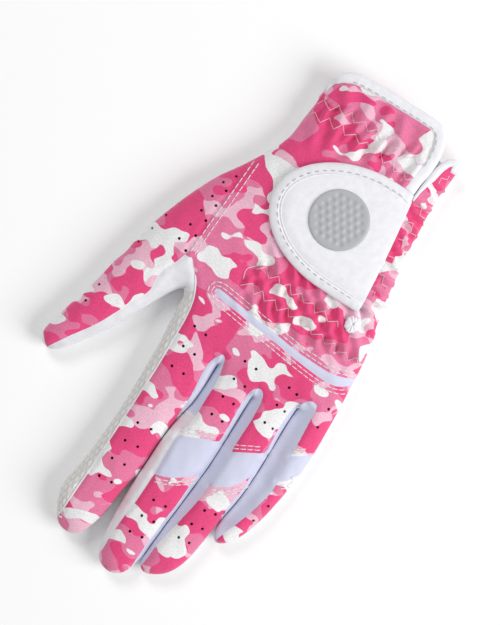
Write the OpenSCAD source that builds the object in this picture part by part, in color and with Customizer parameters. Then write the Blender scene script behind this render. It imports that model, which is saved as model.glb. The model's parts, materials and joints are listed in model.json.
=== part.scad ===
// Golf glove for the left hand, lying palm down with its fingers pointing to -Y.
// Every sewn piece is a flat sheet or an upright side strip, so the glove stays hollow
// from the cuff to the fingertips. The origin is the middle of the palm, on the
// surface the glove lies on: +X towards the little finger, +Y towards the cuff, +Z up.

/* [Glove] */
// Height of the empty glove, palm sheet to back sheet
glove_h = 14; // [12:1:18]
// Thickness of the knit back and the leather palm
sheet_t = 0.8; // [0.5:0.1:1.0]
// Thickness of the stretch panels over the knuckles
stretch_t = 0.6; // [0.4:0.1:0.6]

/* [Finger lengths] */
// Thumb, from its base hinge to its tip
thumb_len = 48.7; // [46:0.1:52]
// Index finger, from its base hinge to its tip
index_len = 85.6; // [80:0.1:90]
// Middle finger, from its base hinge to its tip
middle_len = 88.4; // [83:0.1:93]
// Ring finger, from its base hinge to its tip
ring_len = 81.2; // [76:0.1:86]
// Little finger, from its base hinge to its tip
little_len = 60.9; // [56:0.1:66]

/* [Closure tab] */
// Reach of the tab's round end, from the middle of its straight part
tab_reach = 38.3; // [34:0.1:40]
// Half of the tab's width along the arm
tab_half_w = 25.6; // [24:0.1:27]
// Thickness of the tab's leather
tab_t = 1.2; // [0.8:0.1:1.4]
// Diameter of the round badge on the tab
emblem_d = 24.4; // [18:0.1:28]

/* [Wrist slit] */
// Width of the slit between its two edges, under the tab
slit_w = 1.2; // [0.8:0.1:1.6]

/* [Hidden] */

// Colours of the materials
camo_pink = "#E77BA8";
white_leather = "#F2F2F6";
embossed_leather = "#C9C6C2";
lilac_stretch = "#D9DCF2";
badge_grey = "#B9BBBE";
tape_white = "#E6E6EA";

// Levels of the sheets
back_z = glove_h - sheet_t;
side_gap = 0.3;
side_h = back_z - side_gap - sheet_t;
stretch_z = glove_h - stretch_t;
elastic_t = 0.6;
elastic_w = 4;
binding_rise = 0.3;
binding_t = 1.4;
loop_t = 1.0;
hook_t = 1.2;
tab_z = glove_h + loop_t + hook_t + 0.2;
emblem_t = 0.3;

// Clearances along a finger on each side of a hinge line, which lies 5 above the palm face
palm_setback = 6;
near_start = 0.5;
back_end = 0.2;
base_back_start = 2.2;

// A finger: hinge point x and y, lean towards the thumb in degrees, length, width at the
// base hinge, width before the tip, distance from base hinge to second hinge, and half
// the length of the stretch insert over the second hinge.
thumb = [-48.1, -0.6, 25.5, thumb_len, 23, 13.5, 21, 0];
index = [-17, -21, 6.5, index_len, 24, 21, 36.2, 0];
middle = [4.44, -24, 5.5, middle_len, 18.4, 17.4, 35.2, 8.5];
ring = [22.8, -24, 6, ring_len, 16.9, 15.4, 27.1, 8.5];
little = [39.5, -20.5, 6.45, little_len, 14.4, 12.4, 20.1, 6];
tip_steps = 6;

function knuckle(f) = f[6];
function insert_half(f) = f[7];
// Half the width at a distance s past the base hinge
function half_width(f, s) = (f[4] + (f[5] - f[4]) * s / f[3]) / 2;
// One edge of a finger from a to b, side -1 towards the thumb and 1 away from it;
// the edge to the very tip ends in a quarter ellipse.
tip_round = 1.1;
function tip_start(f) = f[3] - tip_round * half_width(f, f[3]);
function tip_arc(f, side) = [
    for (i = [0:tip_steps])
        let (a = 90 * i / tip_steps, w = half_width(f, tip_start(f)))
        [side * w * cos(a), -tip_start(f) - (f[3] - tip_start(f)) * sin(a)]
];
function edge_to(f, side, a, b) = [[side * half_width(f, a), -a], [side * half_width(f, b), -b]];
function edge_to_tip(f, side, a) = concat([[side * half_width(f, a), -a]], tip_arc(f, side));

// A corner of the hand where a finger joins it, at a distance s from the base hinge line
function corner(f, side, s) =
    let (w = side * f[4] / 2)
    [f[0] + w * cos(f[2]) - s * sin(f[2]), f[1] - w * sin(f[2]) - s * cos(f[2])];
function corners(f, s) = [corner(f, -1, s), corner(f, 1, s)];

function reversed(pts) = [for (i = [len(pts) - 1:-1:0]) pts[i]];
function unit(v) = v / norm(v);
// Points moved sideways by d, to the right of the way the line runs
function shifted(pts, d) = [
    for (i = [0:len(pts) - 1])
        let (a = pts[max(i - 1, 0)], b = pts[min(i + 1, len(pts) - 1)], t = unit(b - a))
        pts[i] + d * [t[1], -t[0]]
];

// Outlines of the hand, the cuff at +Y
// The thumb edge of the hand, from the cuff to the thumb's base
radial_edge = [
    [-20, 103], [-20.8, 92], [-24, 75], [-31, 62], [-41, 48], [-49, 33], [-54, 21], [-56.4, 11.5]
];
// The seam between the thumb and the back of the hand
thumb_seam = [[-32, 60.5], [-34.5, 40], [-36.7, 20], [-37, 14]];
// The index finger's edge of the hand, from the thumb crotch down
index_edge = [[-33.5, 12.5], [-30.8, 4], [-29.6, -5], [-29.3, -11]];
// The tops of the gaps between the fingers
crotches = [[-4.7, -13.8], [14.1, -18.8], [32, -13.2]];
// The outer edge of the hand, from the little finger up to the wrist
ulnar_edge = [
    [46.9, -12], [46.5, 5], [44.5, 22], [42, 38], [40.5, 60], [40.2, 82], [41.6, 91]
];
// The slit, from its lower end up to the cuff
slit_line = [[35.2, 25], [33.8, 40], [31, 78]];
// The edge of the cuff on the back of the hand, inside its binding
cuff_line = [[29.5, 90], [28.5, 100], [25, 103.3], [10, 105.3], [-10, 106.6], [-15, 105.5], [-19, 102.5]];
cuff_binding_w = 4;
// The round tip of the flap beyond the slit, inside its binding, and where it starts
flap_foot = [33.5, 82];
flap_line = [[35.1, 86.5], [36, 89], [37.5, 94.5], [39.3, 95.5], [40.3, 92]];
flap_binding_w = 2.4;
// The palm's edge at the cuff
palm_cuff_line = [[41, 93], [25, 97.5], [0, 100.5], [-18.6, 99.6]];
palm_binding_w = 3.5;

// The diagonal stretch strip across the back of the knuckles
strip_top = [[-18.5, 8.2], [-10, 7], [20, 1.7], [36, 0.5], [46.5, 3]];
strip_bottom = [[46.5, 0.2], [43, -2], [36, -3.3], [20, -1.2], [-10, 4], [-18, 5.5], [-19.7, 6.8]];

// The tab's hinge edge, and the middle of its round end
tab_top = [31, 77.7];
tab_bottom = [33.9, 27];
tab_mid = [20, 53.5];
tab_steps = 16;
function tab_arc(inset) = [
    for (i = [0:tab_steps])
        let (a = 90 + 180 * i / tab_steps)
        tab_mid + [(tab_reach - inset) * cos(a), (tab_half_w - inset) * sin(a)]
];
tab_binding_w = 3.6;
tab_binding_t = 0.8;
loop_inset = 3;
hook_inset = 6;
emblem_at = [9.7, 55];

// A flat sheet of thickness t with its lower face at height z
module sheet(z, t) translate([0, 0, z]) linear_extrude(t) children();

// An upright strip of thickness t along a line of points, on the line's right-hand side
module strip_wall(pts, t = sheet_t) {
    sheet(sheet_t, side_h) polygon(concat(pts, reversed(shifted(pts, t))));
}

// Children drawn in a finger's own frame, which has the base hinge line along X
module on_finger(f) translate([f[0], f[1]]) rotate(-f[2]) children();

// Outline of a finger between two distances from its base hinge
module finger_outline(f, a, b) {
    polygon(concat(edge_to(f, -1, a, b), reversed(edge_to(f, 1, a, b))));
}

// Outline of a finger from a distance past its base hinge to its tip
module tip_outline(f, a) {
    polygon(concat(edge_to_tip(f, -1, a), reversed(edge_to_tip(f, 1, a))));
}

// Back sheet of a finger's base part, up to the insert or to the second hinge
module base_back(f) {
    end = insert_half(f) > 0 ? knuckle(f) - insert_half(f) : knuckle(f) + back_end;
    sheet(back_z, sheet_t) on_finger(f) finger_outline(f, base_back_start, end);
}

// Palm sheet of a finger's base part
module base_palm(f) {
    sheet(0, sheet_t) on_finger(f) finger_outline(f, near_start, knuckle(f) - palm_setback);
}

// Side strip of a finger's base part
module base_side(f, side) {
    pts = edge_to(f, side, near_start, knuckle(f) - palm_setback);
    translate([f[0], f[1], 0]) rotate([0, 0, -f[2]]) strip_wall(pts, side * sheet_t);
}

// Stretch insert over a finger's second hinge
module knuckle_insert(f) {
    a = knuckle(f) - insert_half(f);
    b = knuckle(f) + insert_half(f);
    sheet(stretch_z, stretch_t) on_finger(f) finger_outline(f, a, b);
}

// Back sheet of a finger's tip part
module tip_back(f) {
    start = insert_half(f) > 0 ? knuckle(f) + insert_half(f) + side_gap : knuckle(f) + near_start;
    sheet(back_z, sheet_t) on_finger(f) tip_outline(f, start);
}

// Palm sheet of a finger's tip part
module tip_palm(f) {
    sheet(0, sheet_t) on_finger(f) tip_outline(f, knuckle(f) + near_start);
}

// Side strip of a finger's tip part
module tip_side(f, side) {
    pts = edge_to_tip(f, side, knuckle(f) + near_start);
    translate([f[0], f[1], 0]) rotate([0, 0, -f[2]]) strip_wall(pts, side * sheet_t);
}

// Only what lies on one side of a finger's middle line
module half_of(f, side) {
    clear = 0.15;
    reach = 20;
    near = side > 0 ? clear : -reach - clear;
    intersection() {
        children();
        translate([f[0], f[1], 0]) rotate([0, 0, -f[2]]) translate([near, -f[3] - 1, 0])
            cube([reach, f[3] + 1, glove_h]);
    }
}

// Outline of the hand's back between the thumb seam and the outer edge, without the slit
module back_outline() {
    polygon(concat(
        [for (p = radial_edge) if (p[1] > 61) p], thumb_seam, index_edge,
        corners(index, back_end), [crotches[0]], corners(middle, back_end), [crotches[1]],
        corners(ring, back_end), [crotches[2]], corners(little, back_end),
        ulnar_edge, reversed(flap_line), [flap_foot], cuff_line
    ));
}

// The slit from its end to the notch between the cuff and the flap
module slit_outline() {
    notch = [[31.4, 84], [33.3, 84]];
    polygon(concat(shifted(slit_line, -slit_w / 2), notch, reversed(shifted(slit_line, slit_w / 2))));
}

module flex_strip_outline() polygon(concat(strip_top, strip_bottom));

// A band of elastic under the back sheet, from one point to another
module elastic_band(a, b, z) {
    sheet(z, elastic_t) polygon(concat(
        shifted([a, b], -elastic_w / 2), reversed(shifted([a, b], elastic_w / 2))
    ));
}

module back_panel() color(camo_pink) sheet(back_z, sheet_t) difference() {
    back_outline();
    slit_outline();
    flex_strip_outline();
}

module palm_panel() color(white_leather) sheet(0, sheet_t) {
    thumb_corner = [[-55.9, 9.8], [-35.1, -0.2], [-30.8, 3]];
    polygon(concat(
        [for (p = radial_edge) if (p[1] < 100) p], thumb_corner,
        [index_edge[2], index_edge[3]], corners(index, -palm_setback),
        corners(middle, -palm_setback), corners(ring, -palm_setback),
        corners(little, -palm_setback), ulnar_edge, palm_cuff_line
    ));
}

// The thumb's half of the seam, over the ball of the thumb
module thumb_saddle() color(camo_pink) sheet(back_z, sheet_t) {
    thumb_side_edge = [[-36.6, 10], [-36.4, -2], [-37.8, -5.3], [-58.4, 4.5]];
    polygon(concat(
        thumb_seam, thumb_side_edge, reversed([for (p = radial_edge) if (p[1] < 61) p])
    ));
}

// The leather web of the crotch between thumb and index finger
module thumb_gusset() color(white_leather) {
    web = [[-36.4, 13.6], [-33.7, 12.2], [-31.1, 4], [-31.3, 2.8], [-35.8, -0.6], [-36, 10]];
    crotch = [[-35.6, -0.2], [-31.3, 2.9], [-30.4, -1]];
    sheet(back_z, sheet_t) polygon(web);
    strip_wall(crotch, -1);
}

module radial_side() color(camo_pink) strip_wall(radial_edge, -sheet_t);

module index_hand_side_panel() color(embossed_leather) {
    strip_wall([[-30.2, -1.6], [-29.5, -6], [-29.3, -14.5]], -sheet_t);
}

// The outer side is cut in three, so that each length is nearly straight
module ulnar_side() color(camo_pink) {
    joint = 0.1;
    for (i = [0:2:4])
        let (a = ulnar_edge[i], b = ulnar_edge[i + 1], c = ulnar_edge[i + 2])
        strip_wall([a, b, c - joint * unit(c - b)], -sheet_t);
}

module knuckle_flex_strip() color(lilac_stretch) {
    sheet(stretch_z, stretch_t) flex_strip_outline();
}

module cuff_binding() color(white_leather) {
    sheet(glove_h + binding_rise - binding_t, binding_t)
        polygon(concat(cuff_line, reversed(shifted(cuff_line, cuff_binding_w))));
}

module palm_cuff_binding() color(white_leather) {
    sheet(0, binding_t)
        polygon(concat(palm_cuff_line, reversed(shifted(palm_cuff_line, palm_binding_w))));
}

module slit_binding() color(white_leather) {
    sheet(glove_h + binding_rise - binding_t, binding_t)
        polygon(concat(flap_line, reversed(shifted(flap_line, -flap_binding_w))));
}

module slit_end_tack() color(white_leather) {
    tack_t = 1;
    sheet(glove_h, tack_t) polygon([
        for (a = [0:30:330]) [35.2, 20.6] + [3 * cos(a), 3.8 * sin(a)]
    ]);
}

// The stitched strip that the tab turns on
module tab_anchor() color(white_leather) {
    anchor_w = 3;
    anchor_t = 0.9;
    edge = [tab_bottom + [0.9, 4], tab_top + [0.9, -1]];
    sheet(glove_h, anchor_t) polygon(concat(edge, reversed(shifted(edge, anchor_w))));
}

module loop_pad() color(tape_white) sheet(glove_h, loop_t) {
    polygon(concat(tab_arc(loop_inset), [[30, 31.5], [28.4, 75.5]]));
}

module cuff_elastic_1() color(tape_white) {
    elastic_band([-19, 93], [28, 90.8], back_z - elastic_t);
}

module cuff_elastic_2() color(tape_white) {
    elastic_band([-19.5, 87.5], [27, 83.5], back_z - elastic_t);
}

module back_elastic_1() color(tape_white) {
    elastic_band([-12, 24], [31, 18], back_z - elastic_t);
}

module back_elastic_2() color(tape_white) {
    elastic_band([-9, 15.5], [44, 9.5], back_z - elastic_t);
}

module palm_elastic() color(tape_white) elastic_band([-18.5, 90], [38, 84], sheet_t);

module tab_cover() color(white_leather) {
    sheet(tab_z, tab_t) polygon(concat([tab_top], tab_arc(0), [tab_bottom]));
}

module tab_binding() color(white_leather) {
    sheet(tab_z + tab_t, tab_binding_t)
        polygon(concat(tab_arc(0), reversed(tab_arc(tab_binding_w))));
}

module tab_hook_pad() color(tape_white) sheet(tab_z - hook_t, hook_t) {
    polygon(concat(tab_arc(hook_inset), [[24, 34], [24, 72]]));
}

module tab_emblem() color(badge_grey) {
    translate([emblem_at[0], emblem_at[1], tab_z + tab_t]) cylinder(h = emblem_t, d = emblem_d, $fn = 96);
}

module thumb_base_back() color(camo_pink) base_back(thumb);
module thumb_base_palm() color(white_leather) base_palm(thumb);
module thumb_base_sides() color(white_leather) {
    base_side(thumb, -1);
    base_side(thumb, 1);
}
module thumb_tip_back() color(camo_pink) tip_back(thumb);
module thumb_tip_palm() color(white_leather) tip_palm(thumb);
module thumb_tip_sides() color(white_leather) {
    tip_side(thumb, -1);
    tip_side(thumb, 1);
}

module index_base_back() color(camo_pink) base_back(index);
module index_base_palm() color(white_leather) base_palm(index);
module index_base_side_panel() color(embossed_leather) base_side(index, -1);
module index_base_fourchette() color(lilac_stretch) base_side(index, 1);
module index_tip_back() color(camo_pink) tip_back(index);
module index_tip_palm() color(white_leather) tip_palm(index);
module index_tip_side_panel() color(embossed_leather) half_of(index, -1) tip_side(index, -1);
module index_tip_fourchette() color(white_leather) half_of(index, 1) tip_side(index, 1);

module middle_base_back() color(camo_pink) base_back(middle);
module middle_base_palm() color(white_leather) base_palm(middle);
module middle_base_fourchettes() color(lilac_stretch) {
    base_side(middle, -1);
    base_side(middle, 1);
}
module middle_knuckle_insert() color(lilac_stretch) knuckle_insert(middle);
module middle_tip_back() color(camo_pink) tip_back(middle);
module middle_tip_palm() color(white_leather) tip_palm(middle);
module middle_tip_fourchettes() color(lilac_stretch) {
    tip_side(middle, -1);
    tip_side(middle, 1);
}

module ring_base_back() color(camo_pink) base_back(ring);
module ring_base_palm() color(white_leather) base_palm(ring);
module ring_base_fourchettes() color(lilac_stretch) {
    base_side(ring, -1);
    base_side(ring, 1);
}
module ring_knuckle_insert() color(lilac_stretch) knuckle_insert(ring);
module ring_tip_back() color(camo_pink) tip_back(ring);
module ring_tip_palm() color(white_leather) tip_palm(ring);
module ring_tip_fourchettes() color(lilac_stretch) {
    tip_side(ring, -1);
    tip_side(ring, 1);
}

module little_base_back() color(camo_pink) base_back(little);
module little_base_palm() color(white_leather) base_palm(little);
module little_base_sides() color(lilac_stretch) {
    base_side(little, -1);
    base_side(little, 1);
}
module little_knuckle_insert() color(lilac_stretch) knuckle_insert(little);
module little_tip_back() color(camo_pink) tip_back(little);
module little_tip_palm() color(white_leather) tip_palm(little);
module little_tip_sides() color(lilac_stretch) {
    tip_side(little, -1);
    tip_side(little, 1);
}

back_panel();
palm_panel();
thumb_saddle();
thumb_gusset();
radial_side();
index_hand_side_panel();
ulnar_side();
knuckle_flex_strip();
cuff_binding();
palm_cuff_binding();
slit_binding();
slit_end_tack();
tab_anchor();
loop_pad();
cuff_elastic_1();
cuff_elastic_2();
back_elastic_1();
back_elastic_2();
palm_elastic();
tab_cover();
tab_binding();
tab_hook_pad();
tab_emblem();
thumb_base_back();
thumb_base_palm();
thumb_base_sides();
thumb_tip_back();
thumb_tip_palm();
thumb_tip_sides();
index_base_back();
index_base_palm();
index_base_side_panel();
index_base_fourchette();
index_tip_back();
index_tip_palm();
index_tip_side_panel();
index_tip_fourchette();
middle_base_back();
middle_base_palm();
middle_base_fourchettes();
middle_knuckle_insert();
middle_tip_back();
middle_tip_palm();
middle_tip_fourchettes();
ring_base_back();
ring_base_palm();
ring_base_fourchettes();
ring_knuckle_insert();
ring_tip_back();
ring_tip_palm();
ring_tip_fourchettes();
little_base_back();
little_base_palm();
little_base_sides();
little_knuckle_insert();
little_tip_back();
little_tip_palm();
little_tip_sides();
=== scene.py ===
"""Left-hand golf glove, palm down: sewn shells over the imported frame.

The glove's surface starts as a plan drawing in millimetres, in the frame of the CAD
model.  The plan is triangulated with every seam as an edge, blown up like a balloon
held at its outline, and cut into the panels that are sewn together.
"""

import math
import random

import bpy
import numpy as np
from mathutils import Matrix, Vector
from mathutils.bvhtree import BVHTree
from mathutils.geometry import delaunay_2d_cdt
from mathutils.kdtree import KDTree
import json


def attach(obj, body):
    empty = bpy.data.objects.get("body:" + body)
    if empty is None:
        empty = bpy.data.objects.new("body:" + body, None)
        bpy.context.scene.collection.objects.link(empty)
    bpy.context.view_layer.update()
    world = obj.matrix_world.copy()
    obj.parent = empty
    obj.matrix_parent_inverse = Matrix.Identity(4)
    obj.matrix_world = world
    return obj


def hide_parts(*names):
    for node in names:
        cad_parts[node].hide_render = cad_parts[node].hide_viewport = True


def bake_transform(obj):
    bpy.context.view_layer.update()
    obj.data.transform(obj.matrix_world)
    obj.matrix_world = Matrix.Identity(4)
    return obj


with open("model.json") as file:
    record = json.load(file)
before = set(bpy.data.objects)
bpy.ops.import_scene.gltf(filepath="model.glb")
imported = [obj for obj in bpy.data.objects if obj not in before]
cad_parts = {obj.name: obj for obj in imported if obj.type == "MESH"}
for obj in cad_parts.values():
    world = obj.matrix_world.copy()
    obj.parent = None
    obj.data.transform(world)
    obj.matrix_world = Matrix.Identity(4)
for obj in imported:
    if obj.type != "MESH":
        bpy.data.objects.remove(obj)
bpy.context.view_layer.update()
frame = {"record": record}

MM = 0.001
FABRIC_T = 0.7          # thickness of knit and leather
EQUATOR_Z = 5.4         # height of the glove's outline above the floor
PUFF_LENGTH = 6.1       # how far from an edge the back reaches its full height
GRID = 0.95             # spacing of the free points of the plan
HEX_ROWS = 0.866        # row spacing of a triangular lattice, for a spacing of 1
ON_LINE = 0.02          # a point this close to a line lies on it
JOINTS = {j["name"]: j for j in frame["record"]["behaviour"]["joints"]}


# ---------------------------------------------------------------- fingers

class Finger:
    """A finger's own frame: s runs from the base hinge to the tip, v across it."""

    def __init__(self, name, start, end, middle, tip_half):
        base = JOINTS[name + "_base_bend"]
        self.name = name
        self.hinge = np.array(base["pos_m"][:2]) / MM
        self.across = np.array(base["axis"][:2])
        self.along = np.array([self.across[1], -self.across[0]])
        second = np.array(JOINTS[name + "_knuckle_bend"]["pos_m"][:2]) / MM
        self.knuckle = float(np.dot(second - self.hinge, self.along))
        self.start, self.end, self.middle, self.tip_half = start, end, middle, tip_half

    def s(self, xy):
        return (np.asarray(xy) - self.hinge) @ self.along

    def v(self, xy):
        return (np.asarray(xy) - self.hinge) @ self.across

    def point(self, s, v=0.0):
        return self.hinge + s * self.along + v * self.across

    def blends(self):
        """Body pairs and the stretch of the finger over which each bend happens."""
        base, tip = self.name + "_base", self.name + "_tip"
        return {base: ("hand", base, self.start, self.end),
                tip: (base, tip, self.knuckle - self.tip_half, self.knuckle + self.tip_half)}


# Name, first and last point of the bend at the base, where the tip's pieces begin, and half
# the length of the bend at the knuckle
THUMB = Finger("thumb", -8, 11, 12, 8)
INDEX = Finger("index", -8, 14, 20, 9)
MIDDLE = Finger("middle", -5.4, 14, 20, 9)
RING = Finger("ring", -4, 14, 15.5, 9)
LITTLE = Finger("little", -5.2, 10.5, 11, 8)
FINGERS = [INDEX, MIDDLE, RING, LITTLE]
DIGITS = FINGERS + [THUMB]
ZONES = {}
for finger in DIGITS:
    ZONES.update(finger.blends())


def place(obj, zone):
    """Attach a piece rigidly to its zone's body; a piece of a finger's bending zone only has its
    transform baked in.
    """
    if zone not in ZONES:
        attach(obj, zone)
        return
    a, b, s0, s1 = ZONES[zone]
    finger = next(f for f in DIGITS if zone.startswith(f.name))
    z = JOINTS[finger.name + "_base_bend"]["pos_m"][2]
    start, end = (tuple(map(float, (*(finger.point(s) * MM), z))) for s in (s0, s1))
    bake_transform(obj)


# ---------------------------------------------------------------- curves

def smooth(points, step=1.0):
    """A Catmull-Rom curve through the points, with points about a step apart."""
    p = np.asarray(points, float)
    if len(p) < 3:
        n = max(int(np.linalg.norm(p[1] - p[0]) / step), 1)
        t = np.linspace(0, 1, n + 1)[:, None]
        return p[0] * (1 - t) + p[1] * t
    ends = np.vstack([2 * p[0] - p[1], p, 2 * p[-1] - p[-2]])
    out = []
    for a, b, c, d in zip(ends, ends[1:], ends[2:], ends[3:]):
        n = max(int(round(np.linalg.norm(c - b) / step)), 1)
        for t in np.arange(n) / n:
            out.append(0.5 * (2 * b + (c - a) * t + (2 * a - 5 * b + 4 * c - d) * t ** 2
                              + (3 * b - a - 3 * c + d) * t ** 3))
    out.append(p[-1])
    return np.array(out)


def tangents(p):
    t = np.gradient(p, axis=0)
    return t / np.maximum(np.linalg.norm(t, axis=1, keepdims=True), 1e-9)


def rightward(p):
    """The direction to the right of the way a curve runs, at each of its points."""
    t = tangents(p)
    return np.stack([t[:, 1], -t[:, 0]], axis=1)


def offset(p, d):
    """The curve moved sideways by d, to the right."""
    return p + d * rightward(p)


def circle(centre, radius, n):
    a = np.linspace(0, math.tau, n, endpoint=False)
    return centre + radius * np.stack([np.cos(a), np.sin(a)], axis=1)


def x_at(curve, y):
    """A curve's x at given y, for curves that run along the hand."""
    c = curve[np.argsort(curve[:, 1])]
    return np.interp(y, c[:, 1], c[:, 0])


def inside(poly, xy):
    """Which points lie inside a closed polygon."""
    xy = np.atleast_2d(xy)
    hit = np.zeros(len(xy), bool)
    for (x0, y0), (x1, y1) in zip(poly, np.roll(poly, -1, axis=0)):
        cross = (y0 > xy[:, 1]) != (y1 > xy[:, 1])
        if y1 != y0:
            hit ^= cross & (xy[:, 0] < (x1 - x0) * (xy[:, 1] - y0) / (y1 - y0) + x0)
    return hit


def nearest(curve, xy):
    """Distance to a curve, and how far along it the nearest point is."""
    best = np.full(len(xy), 1e9)
    along = np.zeros(len(xy))
    run = 0.0
    for a, b in zip(curve, curve[1:]):
        ab = b - a
        length = np.linalg.norm(ab)
        if length < 1e-9:
            continue
        t = np.clip(((xy - a) @ ab) / length ** 2, 0, 1)
        d = np.linalg.norm(xy - (a + t[:, None] * ab), axis=1)
        closer = d < best
        best[closer] = d[closer]
        along[closer] = run + t[closer] * length
        run += length
    return best, along


def runs(curve):
    """Distance along a curve at each of its points."""
    return np.concatenate([[0], np.cumsum(np.linalg.norm(np.diff(curve, axis=0), axis=1))])


def at_runs(curve, where):
    """Points of a curve at given distances along it."""
    run = runs(curve)
    return np.stack([np.interp(where, run, curve[:, k]) for k in range(curve.shape[1])], axis=1)


def resample(curve, step):
    """Points an even step apart along a curve."""
    total = runs(curve)[-1]
    return at_runs(curve, np.linspace(0, total, max(int(round(total / step)), 1) + 1))


# ---------------------------------------------------------------- the plan, in millimetres

# Outline of the hand and fingers, from the cuff's thumb side round the thumb
RADIAL_SIDE = smooth([
    (-20, 103), (-20.4, 98), (-21, 92), (-22.2, 85), (-23.4, 77), (-26, 70), (-29.5, 64.5),
    (-34, 57.5), (-41, 48), (-45, 41), (-49, 33), (-54, 21), (-57, 12), (-59, 3), (-61, -2),
    (-63, -10), (-65, -17), (-67, -22), (-69.2, -29), (-71.3, -35), (-72.5, -40.5), (-71.4, -43.8),
    (-68.5, -45.4), (-66, -45.3), (-63, -43.4), (-60, -40.5), (-55, -34), (-50, -27.2),
    (-45, -18.7), (-40, -10.2), (-36, -3.4), (-33.2, 0.3), (-31.4, 1.6)])
INDEX_SIDE = smooth([
    (-31.4, 1.6), (-30.2, -1), (-29.9, -6), (-29.6, -14), (-29.3, -22), (-29.5, -32), (-29.7, -42),
    (-30.2, -52), (-31, -60), (-32, -70), (-33.4, -79), (-35, -86.5), (-35.7, -91), (-34.6, -96.5),
    (-32.6, -101), (-31, -103.6), (-28.6, -105.6), (-25, -106.3), (-22, -105.5), (-19.6, -103.2),
    (-17.9, -100), (-16.5, -96), (-15, -90), (-13.7, -82), (-12.4, -76), (-11.3, -73)])
MIDDLE_SIDE = smooth([
    (-11.3, -73), (-11.5, -80), (-11.7, -88), (-11.6, -96), (-11, -103), (-10, -107), (-8, -110.2),
    (-5, -111.8), (-2.5, -112.2), (0, -111.6), (2.4, -110), (4.2, -107), (5.4, -103.6),
    (6.4, -100)])
RING_SIDE = smooth([
    (6.4, -100), (6.8, -103), (8.2, -105), (10.6, -105.6), (14.5, -104.2), (18, -101.6),
    (20.8, -97.6), (22.8, -92.5), (24.2, -86.5), (25.3, -80), (26.6, -73)])
LITTLE_SIDE = smooth([
    (26.6, -73), (26.6, -76), (27.2, -79), (28.6, -80.9), (30.6, -81), (33.4, -79.2),
    (36.2, -75.6), (38.6, -71), (40.8, -65), (42.6, -58), (44.3, -50), (45.8, -40), (46.6, -30),
    (46.8, -20), (46.8, -10), (46.5, 0), (46.4, 8), (45.8, 15), (44.5, 22), (43, 30), (42, 38),
    (41.4, 45), (40.9, 52), (40.2, 60), (40.3, 68), (40.1, 76), (40.4, 83), (41.3, 89),
    (41.9, 94)])
FLAP_TIP = smooth([
    (41.9, 94), (41.2, 97.2), (39, 98.6), (36.4, 97.4), (34.6, 94.4), (33.9, 92.4)])
CUFF_EDGE = smooth([
    (32.5, 93.4), (32.3, 98), (31.2, 103), (28.4, 106.7), (25, 108.2), (20, 108.7), (10, 109.2),
    (0, 109.7), (-11, 109.5), (-16.4, 107.4), (-20, 103)])
OUTLINE = np.vstack([RADIAL_SIDE, INDEX_SIDE[1:], MIDDLE_SIDE[1:], RING_SIDE[1:],
                     LITTLE_SIDE[1:], FLAP_TIP[1:], CUFF_EDGE[:-1]])

# Lines where two fingers press together, from the crotch down
VALLEY_IM = smooth([
    (-4.6, -13.9), (-4.7, -20), (-5, -27), (-5.7, -35), (-7, -41), (-8.4, -46), (-9.3, -51),
    (-10.1, -58), (-10.7, -66), (-11.3, -73)])
VALLEY_MR = smooth([
    (14.1, -18.9), (13.6, -25), (13.3, -33), (13, -40), (12.6, -48), (12.1, -56), (11.2, -63),
    (10.3, -70), (9.2, -78), (8.2, -85), (7.3, -92), (6.4, -100)])
VALLEY_RL = smooth([
    (33.6, -14.2), (31.9, -18.5), (31.3, -24), (31, -31), (30.7, -40), (30.2, -50), (29.2, -60),
    (27.7, -68), (26.6, -73)])
VALLEYS = [VALLEY_IM, VALLEY_MR, VALLEY_RL]

# Edges of the printed knit on the fingers
INDEX_LEFT = smooth([
    (-33.6, 13.5), (-31, 10), (-28.6, 7), (-26.7, 3), (-25.5, -1), (-24.9, -6), (-24.8, -12),
    (-25, -20), (-25.3, -30), (-26, -40), (-26.7, -50), (-27.5, -60), (-28.2, -70), (-29, -80),
    (-30, -90), (-30.8, -99), (-31.5, -103)])
INDEX_RIGHT = smooth([
    (-4.6, -13.9), (-5.9, -15), (-7.3, -17.6), (-8.2, -22), (-8, -30), (-7.9, -36), (-8.1, -41),
    (-8.4, -46)])
MIDDLE_LEFT = smooth([
    (-4.6, -13.9), (-3.4, -14.8), (-2.6, -18), (-2, -25), (-2.2, -33), (-2.6, -40), (-3.6, -45),
    (-4.9, -50), (-5.5, -59), (-5.8, -69), (-6.6, -80), (-8, -89), (-9, -98), (-9.6, -107.6)])
MIDDLE_RIGHT = smooth([
    (14.1, -18.9), (12.9, -19.6), (11.9, -22), (11.4, -27), (11.3, -36), (11.2, -45), (10.9, -52),
    (10.3, -58), (9.5, -66), (8.6, -73), (7.6, -80), (6.6, -87), (5.6, -94), (4.9, -100.5),
    (4.3, -106.9)])
RING_LEFT = smooth([
    (14.1, -18.9), (15.6, -18.7), (17, -20.4), (17.8, -24.5), (17.7, -31), (17.2, -38),
    (16.7, -46), (16.2, -54), (15.7, -61), (14.8, -68), (13.3, -75), (11.5, -82.5), (9.8, -89),
    (8.3, -96.5), (7.5, -104.2)])
RING_RIGHT = smooth([
    (33.6, -14.2), (32.4, -15.4), (31, -18), (30, -21.5), (29.7, -27), (29.4, -35), (29.3, -43),
    (29, -51), (28.1, -59), (27, -67), (26.6, -73)])
LITTLE_LEFT = smooth([
    (33.6, -14.2), (34.6, -13.2), (36.2, -12.9), (37.6, -13.3), (38.2, -15), (38.3, -21),
    (38.5, -30), (38.6, -40), (39, -47), (38.6, -52.5), (37.4, -57.5), (35.6, -63), (33, -69.5),
    (30.6, -75), (28.7, -80.9)])
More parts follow.
